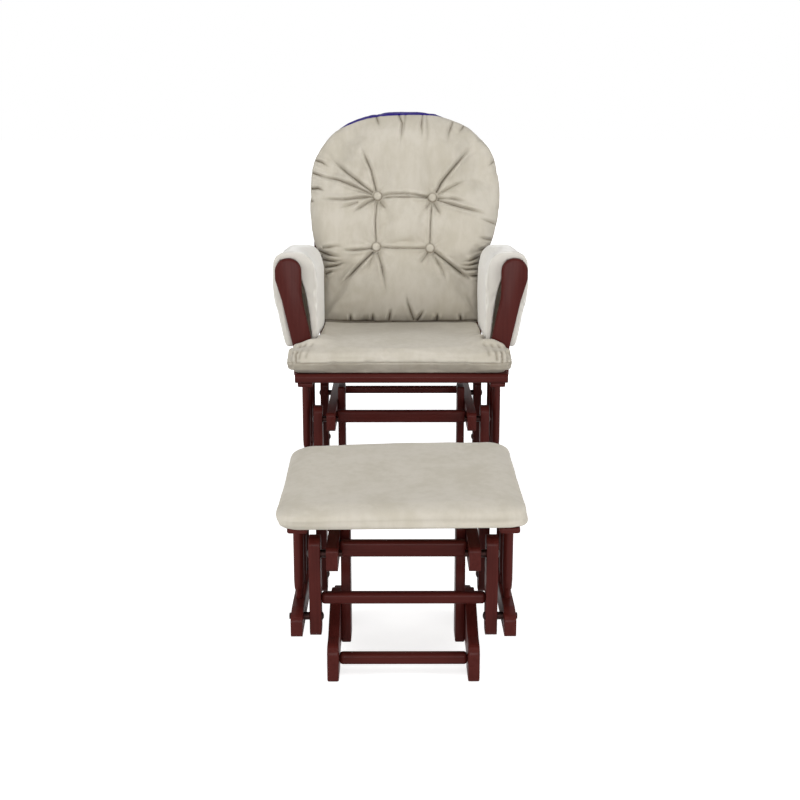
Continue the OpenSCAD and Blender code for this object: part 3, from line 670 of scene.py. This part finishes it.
def back_cushion():
    """Tufted back cushion: filled by simulation, then drawn in along its folds."""
    piece = merged_copy("back_cushion", "back_cushion_cover")
    depth = to_back(points(piece))[:, 2]
    behind, ahead = depth.min(), depth.max()
    remesh(piece, 0.0060)
    relax(piece, 24)
    local = fit_depth(to_outline(to_back(points(piece))), behind, ahead - 0.020)
    local[:, 2] += 0.5 * tuft(local) * smoothstep((local[:, 2] - 0.045) / 0.03) / 1000
    put_points(piece, from_back(local))
    remesh(piece, 0.0050)
    relax(piece, 2)
    local = to_back(points(piece))
    by_button = (off_buttons(*on_sheet(local)) < 10) & (local[:, 2] > 0.05)
    held = np.nonzero(by_button | (local[:, 2] < behind + 0.004))[0]
    swell(piece, 0.026, held, pressure=3.4, spare=0.04)
    relax(piece, 6)
    refine(piece)
    local = rest_on_seat(fit_depth(to_outline(to_back(points(piece))), behind, ahead - 0.002))
    front = smoothstep((local[:, 2] - 0.030) / 0.030)
    height, creases = fold_relief(local)
    dark = np.maximum(creases, back_shading(local))
    local[:, 2] += front * height / 1000
    put_points(piece, from_back(local))
    # Painted shade from the folds and from back_shading, stored in the fold attribute
    mark(piece, "fold", dark * front)
    across, up = on_sheet(local, RIM_SHEET_AT)
    edge = np.interp(across, *np.array(RIM_EDGE).T, left=900, right=900)
    behind_edge = smoothstep((local[:, 2] - 0.040) / 0.004)
    mark(piece, "rim", smoothstep((up - edge) / 1.5) * behind_edge)
    finish_soft(piece, "chair_seat", 0.8, "back_cushion", material=BACK_CLOTH)
    return piece


BUTTON_RADIUS = 0.0125


def covered_button(name, x, z, depth):
    """A domed, cloth covered button with a rolled rim."""
    bpy.ops.mesh.primitive_uv_sphere_add(segments=48, ring_count=24, radius=BUTTON_RADIUS, location=(0, 0, 0))
    piece = bpy.context.object
    piece.name = name
    dome = points(piece)
    ring = np.hypot(dome[:, 0], dome[:, 1]) / BUTTON_RADIUS
    dome[:, 2] = np.where(dome[:, 2] > 0, dome[:, 2] * 0.50 + 0.0006 * np.sin(ring * 9.0), dome[:, 2] * 0.42)
    local = np.stack([dome[:, 0] + x / 1000, dome[:, 1] + z / 1000, dome[:, 2] + depth], axis=1)
    put_points(piece, from_back(local))
    return piece


def surface_depth(cushion, x, z):
    """How far forward of the back's face the cushion's front is at a place on the flat sheet."""
    local = to_back(points(cushion))
    across, up = on_sheet(local)
    near = np.hypot(across - x, up - z) < 8
    return float(np.median(local[near & (local[:, 2] > 0.04), 2]))


def join(first, others):
    only(first)
    for piece in others:
        piece.select_set(True)
    bpy.ops.object.join()
    return first


def buttons(cushion):
    made = []
    for i, (x, z) in enumerate(BUTTONS):
        depth = surface_depth(cushion, x, z) + 0.0010
        made.append(covered_button("button_" + str(i), x, z - SLIP * (depth - SHEET_AT) * 1000, depth))
    piece = join(made[0], made[1:])
    piece.name = "back_buttons"
    local = to_back(points(piece))
    centres = [np.array([x, z - SLIP * (np.median(local[:, 2]) - SHEET_AT) * 1000]) for x, z in BUTTONS]
    away = np.min([np.hypot(local[:, 0] * 1000 - x, local[:, 1] * 1000 - z) for x, z in centres], axis=0)
    # Painted shade round the rim of each button
    mark(piece, "fold", 0.45 * smoothstep((away - 7.5) / 4))
    finish_soft(piece, "chair_seat", 1.0, "covered_buttons")


def fit_box(piece, low, high):
    """Stretches a piece to fill a box."""
    where = points(piece)
    least, most = where.min(axis=0), where.max(axis=0)
    put_points(piece, low + (where - least) / (most - least) * (np.array(high) - low))


# Folds drawn in round the front corners of the seat cushion: line across and up, depth, width
CORNER_FOLDS = [
    ([(-249, 484), (-262, 464), (-261, 436)], 5.0, 3.6),
    ([(-236, 486), (-250, 470), (-254, 448)], 3.6, 3.6),
    ([(-268, 474), (-273, 455), (-268, 430)], 4.0, 3.2),
    ([(-218, 487), (-232, 472), (-238, 452)], 2.4, 4.2),
    ([(-281, 452), (-262, 446), (-246, 447)], 2.6, 3.4),
    ([(222, 486), (234, 470), (238, 446)], 4.2, 3.8),
    ([(240, 485), (250, 466), (249, 434)], 5.0, 3.4),
    ([(257, 480), (264, 460), (259, 432)], 4.4, 3.2),
    ([(203, 488), (214, 474), (219, 458)], 2.6, 4.4),
    ([(271, 466), (273, 446), (266, 428)], 3.6, 3.2),
]


# Half the width of the seat cushion between the arms, and how high its seam runs above its underside
NECK_HALF = 0.2118
SEAM_UP = 0.029


def square_neck(where, low, high):
    """Squares the part of the seat cushion between the arms, so its edges reach the pads beside it."""
    middle, tall = (low[2] + high[2]) / 2, (high[2] - low[2]) / 2
    across, up = where[:, 0] / NECK_HALF, (where[:, 2] - middle) / tall
    reach = np.clip((np.abs(across) ** 9 + np.abs(up) ** 9) ** (-1 / 9), 0.94, 1.16)
    behind = 1 - smoothstep((where[:, 1] - high[1] + 0.03) / 0.02)
    between = smoothstep((where[:, 1] - CHAIR_Y - 0.026) / 0.014) * behind
    at_side = smoothstep((where[:, 1] - CHAIR_Y) / 0.08) * smoothstep((np.abs(across) - 0.62) / 0.25) * behind
    where[:, 0] *= 1 + (reach - 1) * between
    where[:, 2] = middle + up * tall * (1 + (reach - 1) * at_side)
    return where


def shape_top(where, seam_z, low, high):
    """Fills the top panel out beside the supports, and slopes it from front to back."""
    out, behind, back = np.abs(where[:, 0]), where[:, 1] - CHAIR_Y, where[:, 1] - low[1]
    filled = smoothstep((out - 0.185) / 0.025) * smoothstep((behind + 0.040) / 0.025)
    filled = filled * (1 - smoothstep((behind - 0.05) / 0.05)) * (where[:, 2] > seam_z)
    share = np.clip((where[:, 2] - seam_z) / (high[2] - seam_z), 1e-6, 1)
    where[:, 2] += (high[2] - seam_z) * (share ** (1 - 0.62 * filled) - share)
    level = 0.77 + 0.22 * smoothstep((back - 0.020) / 0.085) - 0.14 * smoothstep((back - 0.12) / 0.25)
    over = where[:, 2] > seam_z
    where[over, 2] = seam_z + ((where[:, 2] - seam_z) * level)[over]
    beside = smoothstep((0.264 - out) / 0.040) * smoothstep((out - 0.150) / 0.060)
    beside *= smoothstep((behind + 0.050) / 0.035) * (1 - smoothstep((behind - 0.02) / 0.05))
    where[:, 2] += 0.011 * beside * smoothstep((where[:, 2] - seam_z) / 0.02)
    return where


def corner_folds(where, in_front):
    """Height of the folds round the front corners in millimetres, and how deep each point lies in one, which sets
    its painted shade.
    """
    height, crease = np.zeros(len(where)), np.zeros(len(where))
    for line, deep, width in CORNER_FOLDS:
        drawn = fold_depth(where[:, 0] * 1000, where[:, 2] * 1000, line, deep, width, fade=(0.2, 0.2))
        height += drawn * in_front
        crease = np.maximum(crease, -drawn / deep * min(1.0, deep / 5) * in_front)
    return height, crease


def seat_cushion():
    """T-shaped box cushion: crowned top panel, seam round the boxing and gathered corners."""
    piece = merged_copy("seat_cushion", "seat_cushion_cover")
    box = points(piece)
    low, high = box.min(axis=0), box.max(axis=0)
    remesh(piece, 0.0052)
    relax(piece, 8)
    held = np.nonzero(points(piece)[:, 2] < low[2] + 0.004)[0]
    swell(piece, 0.007, held, pressure=2.0, spare=0.02)
    relax(piece, 2)
    refine(piece)
    fit_box(piece, low + [-0.009, -0.002, 0], high - [0.001, 0.001, 0.001])
    seam_z = low[2] + SEAM_UP
    where = shape_top(square_neck(points(piece), low, high), seam_z, low, high)
    put_points(piece, where)
    normal = vertex_normals(piece)
    upright = 1 - np.abs(normal[:, 2])
    away = np.abs(where[:, 2] - seam_z) * 1000
    groove = -2.2 * np.exp(-((away / 1.8) ** 1.4)) + 0.8 * np.exp(-(((away - 5.0) / 2.8) ** 2))
    under = smoothstep((seam_z - where[:, 2]) / 0.003)
    tuck = -0.10 * under * (seam_z - where[:, 2]) * 1000
    in_front = smoothstep(-normal[:, 1] * 2) * (where[:, 1] < CHAIR_Y)
    folds, crease = corner_folds(where, in_front)
    wave = 1.2 * ripple(where, 26, 5) + 0.5 * ripple(where, 70, 6)
    move = upright * (groove + tuck) + folds + wave * smoothstep((where[:, 2] - seam_z) / 0.03)
    put_points(piece, where + normal * move[:, None] / 1000)
    keep_above(piece, low[2])
    behind_line = where[:, 1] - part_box("back_cushion")[0].y
    # Painted shade along the line where the back cushion stands on the seat
    contact_painted_shade = smoothstep((behind_line + 0.003) / 0.005) * (1 - smoothstep((behind_line - 0.045) / 0.010))
    seam_painted_shade = 0.7 * np.exp(-((away / 1.6) ** 2)) * upright
    # Painted shade in the seam, on the boxing below it at the front, in the corner folds and where the back
    # cushion meets the seat
    mark(piece, "fold", np.maximum.reduce([seam_painted_shade, 0.45 * under * in_front, 0.75 * crease, contact_painted_shade]))
    finish_soft(piece, "chair_seat", 0.9, "seat_cushion")


def vertex_normals(piece):
    flat = np.empty(len(piece.data.vertices) * 3, np.float32)
    piece.data.vertex_normals.foreach_get("vector", flat)
    return flat.reshape(-1, 3).astype(float)


def keep_above(piece, floor_z):
    where = points(piece)
    where[:, 2] = np.maximum(where[:, 2], floor_z)
    put_points(piece, where)


# Where the inner flap of a sleeve parts from the support beside it: height, distance from the middle
GAP_EDGE = [(0.45, 0.2240), (0.518, 0.2295), (0.580, 0.2375), (0.6105, 0.2430), (0.6325, 0.2500)]


# Size of the lip that draws the sleeve's end in beside the support's head
LIP_SIZE = (0.022, 0.020, 0.090)


def inner_edge(box):
    return min(abs(box[0].x), abs(box[1].x))


def outer_edge(box):
    return max(abs(box[0].x), abs(box[1].x))


def add_lip(piece, place):
    bpy.ops.mesh.primitive_cube_add(size=1, location=place)
    lip = bpy.context.object
    lip.scale = LIP_SIZE
    bpy.ops.object.transform_apply(location=True, rotation=False, scale=True)
    join(piece, [lip])


def flap_in_gap(where, inner, below, front):
    """How far each point of the inner flap lies in the gap between it and the support."""
    out = np.abs(where[:, 0])
    gap_from = np.interp(where[:, 2], *np.array(GAP_EDGE).T)
    in_gap = smoothstep((out - gap_from) / 0.004) * (out < inner + 0.012)
    return in_gap * smoothstep((below - 0.004 - where[:, 2]) / 0.010) * (where[:, 1] < front + 0.05)


def arm_sleeve(side, word):
    """Padded sleeve over an armrest, with a puckered seam round its front edge."""
    node = "arm_pad_" + word
    piece = merged_copy(node, "arm_sleeve_" + word)
    low, high = (np.array(corner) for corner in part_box(node))
    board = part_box("armrest_" + word)
    inner, outer = inner_edge(board), outer_edge(board)
    add_lip(piece, (side * (inner + 0.004), low[1] + 0.010, board[1].z - 0.040))
    remesh(piece, 0.0045)
    relax(piece, 5)
    where = points(piece)
    out = np.abs(where[:, 0])
    near_board = ((where[:, 2] < board[1].z + 0.004) & (where[:, 2] > board[0].z - 0.03)
                  & (out > inner - 0.006) & (out < outer + 0.004))
    swell(piece, 0.006, np.nonzero(near_board)[0], pressure=2.4, stiff=25.0)
    relax(piece, 3)
    refine(piece)
    wider = [0.006 if side == LEFT else 0, 0, 0]
    fit_box(piece, low - wider - [0, 0, 0.006], high + [0.001 * (side == RIGHT), 0.008, 0.003])
    where = points(piece)
    in_gap = flap_in_gap(where, inner, board[0].z, low[1])
    where[:, 1] += 0.026 * in_gap * smoothstep((low[1] + 0.03 - where[:, 1]) / 0.02)
    put_points(piece, where)
    normal = vertex_normals(piece)
    from_front = (where[:, 1] - low[1]) * 1000
    seam = np.abs(from_front - 12)
    flat = 1 - np.abs(normal[:, 1])
    groove = -1.8 * np.exp(-((seam / 2.4) ** 1.4)) + 0.5 * np.exp(-(((seam - 6) / 4.0) ** 2))
    outward, shoulder = where[:, 0] * side, high[2] - 0.05
    round_it = np.arctan2(where[:, 2] - shoulder, outward - 0.255)
    along = where[:, 2] * 1000 / 9 * (where[:, 2] < shoulder) + round_it * 5 * (where[:, 2] >= shoulder)
    gathered = np.exp(-((seam / 15) ** 2)) * np.sin(along * 1.1 + 2 * ripple(where, 40, 3))
    wave = 1.3 * ripple(where, 22, 8 + side) + 0.5 * ripple(where, 60, 11 + side)
    outside = (outward > outer + 0.008) | (outward < inner - 0.010) | (where[:, 2] > board[1].z + 0.006)
    move = (flat * (groove + 0.9 * gathered) + wave * smoothstep(from_front / 40)) * outside
    put_points(piece, where + normal * move[:, None] / 1000)
    # Painted shade on the sleeve's front-facing end, in its seam and gathers, and in the recess beside the support
    end_face_painted_shade = smoothstep((-normal[:, 1] - 0.30) / 0.4) * (from_front < 24)
    seam_painted_shade = 0.35 * np.exp(-((seam / 2.4) ** 2)) * flat * outside
    gathers_painted_shade = 0.32 * smoothstep(-gathered) * flat * outside
    mark(piece, "fold", np.maximum.reduce([seam_painted_shade, 0.40 * end_face_painted_shade, gathers_painted_shade, 1.4 * in_gap]))
    finish_soft(piece, "chair_seat", 0.7, node, material=ARM_CLOTH)


def from_edge(where, middle):
    """How far inside its own outline each point is, seen from above, as a share of the way to the middle."""
    away = where[:, :2] - middle[:2]
    turn, reach = np.arctan2(away[:, 1], away[:, 0]), np.hypot(*away.T)
    return np.clip(1 - reach / edge_reach(turn, reach), 0, 1)


# How high above its underside the footstool's pad is widest
PAD_WIDEST_UP = 0.014


def round_board(where, board):
    """Which points lie in the pocket that holds the board."""
    near = where[:, 2] < board[1].z + 0.003
    for axis in (0, 1):
        near &= (where[:, axis] > board[0][axis] - 0.004) & (where[:, axis] < board[1][axis] + 0.004)
    return near


def fill_out(where, low, high):
    """Fits the pad to its box, lowers its top to the front and fills out its sides and front corners."""
    middle, widest = (low + high) / 2, low[2] + PAD_WIDEST_UP
    out = smoothstep((where[:, 2] - low[2]) / 0.010)
    for axis in (0, 1):
        grow = (high[axis] - low[axis]) / (where[:, axis].max() - where[:, axis].min())
        where[:, axis] += (where[:, axis] - middle[axis]) * (grow - 1) * out
    where[:, 2] = low[2] + (where[:, 2] - low[2]) * (high[2] - low[2]) / (where[:, 2].max() - low[2])
    back = smoothstep((where[:, 1] - low[1]) / (high[1] - low[1]))
    above = smoothstep((where[:, 2] - widest) / 0.010)
    where[:, 2] += np.maximum(where[:, 2] - widest, 0) * (0.45 + 0.43 * back - 1)
    share = 1 - from_edge(where, middle)
    half = (high - low)[:2] / 2
    across, along = np.abs((where[:, :2] - middle[:2]) / np.maximum(share, 0.05)[:, None] / half).T
    square = np.clip((across ** 14 + along ** 14) ** (-1 / 14), 1.0, 1.06) - 1
    square = square * share ** 3 * smoothstep((middle[1] - where[:, 1]) / 0.10)
    lower = 0.032 * (1 - smoothstep((where[:, 2] - low[2]) / PAD_WIDEST_UP)) * share ** 3
    fuller = 1 + 0.80 * share * (1 - share) * above + square + lower
    where[:, :2] = middle[:2] + (where[:, :2] - middle[:2]) * fuller[:, None]
    return where


def lie_skewed(where, board, widest):
    """The pad as it lies on its board, turned a little and with one side higher."""
    loose = smoothstep((where[:, 2] - board[1].z + 0.006) / 0.008)
    where[:, 1] += 0.024 * where[:, 0] * loose
    where[:, 0] -= 0.004 * loose
    where[:, 2] += 0.016 * where[:, 0] * smoothstep((where[:, 2] - widest) / 0.010)
    hang = smoothstep((board[0].y - 0.003 - where[:, 1]) / 0.004)
    hang = hang * smoothstep((widest + 0.010 - where[:, 2]) / 0.02)
    where[:, 2] -= hang * (0.0025 - 0.010 * where[:, 0])
    return where


def stool_cushion():
    """Smooth pad pulled tight over the footstool's board."""
    piece = merged_copy("stool_pad", "stool_pad_cover")
    low, high = (np.array(corner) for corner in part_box("stool_pad"))
    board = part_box("stool_seat_board")
    remesh(piece, 0.0055)
    relax(piece, 6)
    start = points(piece)
    held = np.nonzero((start[:, 2] < low[2] + 0.004) | round_board(start, board))[0]
    swell(piece, 0.005, held, pressure=1.6)
    relax(piece, 3)
    refine(piece)
    where = fill_out(points(piece), low, high)
    put_points(piece, where)
    normal = vertex_normals(piece)
    wave = 0.9 * ripple(where, 20, 21) + 0.3 * ripple(where, 75, 22)
    wave = wave * smoothstep((where[:, 2] - board[1].z - 0.004) / 0.01)
    put_points(piece, where + normal * wave[:, None] / 1000)
    keep_above(piece, low[2])
    put_points(piece, lie_skewed(points(piece), board, low[2] + PAD_WIDEST_UP))
    mark(piece, "fold", np.zeros(len(where)))
    finish_soft(piece, "stool_seat", 1.0, "stool_pad")


cushion = back_cushion()
buttons(cushion)
seat_cushion()
arm_sleeve(LEFT, "left")
arm_sleeve(RIGHT, "right")
stool_cushion()


# ---- Camera, light and floor ----

LENS_MM = 56.54
CAMERA_AT = (-0.014, CHAIR_Y - 3.127, 1.082)
CAMERA_TIP, CAMERA_TURN = math.radians(-13.524), math.radians(0.192)
LIT_POINT = (0.0, 0.1, 0.55)
SOFTBOXES = [
    ("left_softbox", (-3.0, -1.6, 1.9), (1.6, 2.2), 58),
    ("right_softbox", (3.0, -1.6, 1.9), (1.6, 2.2), 58),
    ("front_softbox", (0.0, -4.4, 1.0), (2.6, 1.4), 64),
    ("top_softbox", (0.0, -1.0, 3.4), (2.4, 2.0), 12)
]

# Rays that see the white backdrop as the camera does
MIRROR_RAYS = ("Is Glossy Ray", "Is Transmission Ray")
FLOOR_GREY = 0.72


def aim(thing, place, forward):
    thing.location = place
    thing.rotation_mode = "QUATERNION"
    thing.rotation_quaternion = Vector(forward).to_track_quat("-Z", "Y")


def set_camera():
    lens = bpy.data.cameras.new("view")
    lens.sensor_width = 36
    lens.lens = LENS_MM
    camera = bpy.data.objects.new("view", lens)
    bpy.context.scene.collection.objects.link(camera)
    level = math.cos(CAMERA_TIP)
    forward = (math.sin(CAMERA_TURN) * level, math.cos(CAMERA_TURN) * level, math.sin(CAMERA_TIP))
    aim(camera, CAMERA_AT, forward)
    bpy.context.scene.camera = camera


def softbox(name, place, size, power):
    """A large lamp turned to the chair."""
    light = bpy.data.lights.new(name, "AREA")
    light.shape = "RECTANGLE"
    light.size, light.size_y = size
    light.energy = power
    lamp = bpy.data.objects.new(name, light)
    bpy.context.scene.collection.objects.link(lamp)
    aim(lamp, place, Vector(LIT_POINT) - Vector(place))


def white_world(ambient):
    """Soft light from all round, with a white backdrop in view."""
    world = bpy.data.worlds.new("studio")
    bpy.context.scene.world = world
    world.use_nodes = True
    tree = world.node_tree
    background = tree.nodes["Background"]
    background.inputs["Color"].default_value = (1, 1, 1, 1)
    rays = tree.nodes.new("ShaderNodeLightPath")
    level = tree.nodes.new("ShaderNodeMapRange")
    level.inputs["To Min"].default_value = ambient
    level.inputs["To Max"].default_value = 1.0
    seen = rays.outputs["Is Camera Ray"]
    for kind in MIRROR_RAYS:
        either = tree.nodes.new("ShaderNodeMath")
        either.operation = "MAXIMUM"
        tree.links.new(seen, either.inputs[0])
        tree.links.new(rays.outputs[kind], either.inputs[1])
        seen = either.outputs[0]
    tree.links.new(seen, level.inputs["Value"])
    tree.links.new(level.outputs[0], background.inputs["Strength"])


def studio_floor():
    """A pale floor that looks white and keeps the shadow of what stands on it."""
    bpy.ops.mesh.primitive_plane_add(size=60, location=(0, 0, -0.0005))
    floor = bpy.context.object
    floor.name = "studio_floor"
    finish = Finish("floor_white", Roughness=1.0, Specular_IOR_Level=0.0)
    path = finish.node("ShaderNodeLightPath")
    rays = path.out("Is Camera Ray")
    for kind in MIRROR_RAYS:
        rays = finish.node("ShaderNodeMath", {"operation": "MAXIMUM"}, rays, path.out(kind)).out()
    away = finish.node("ShaderNodeVectorMath", {"operation": "LENGTH"}, finish.place()).out("Value")
    glow = rays * (0.74 + 0.36 * finish.ramp(away, 0.7, 2.2))
    finish.feed(Base_Color=(FLOOR_GREY, FLOOR_GREY, FLOOR_GREY, 1), Emission_Color=(1, 1, 1, 1),
                Emission_Strength=glow)
    floor.data.materials.append(finish.material)


bpy.context.scene.view_settings.view_transform = "Standard"
set_camera()
white_world(0.35)
studio_floor()
for lamp in SOFTBOXES:
    softbox(*lamp)
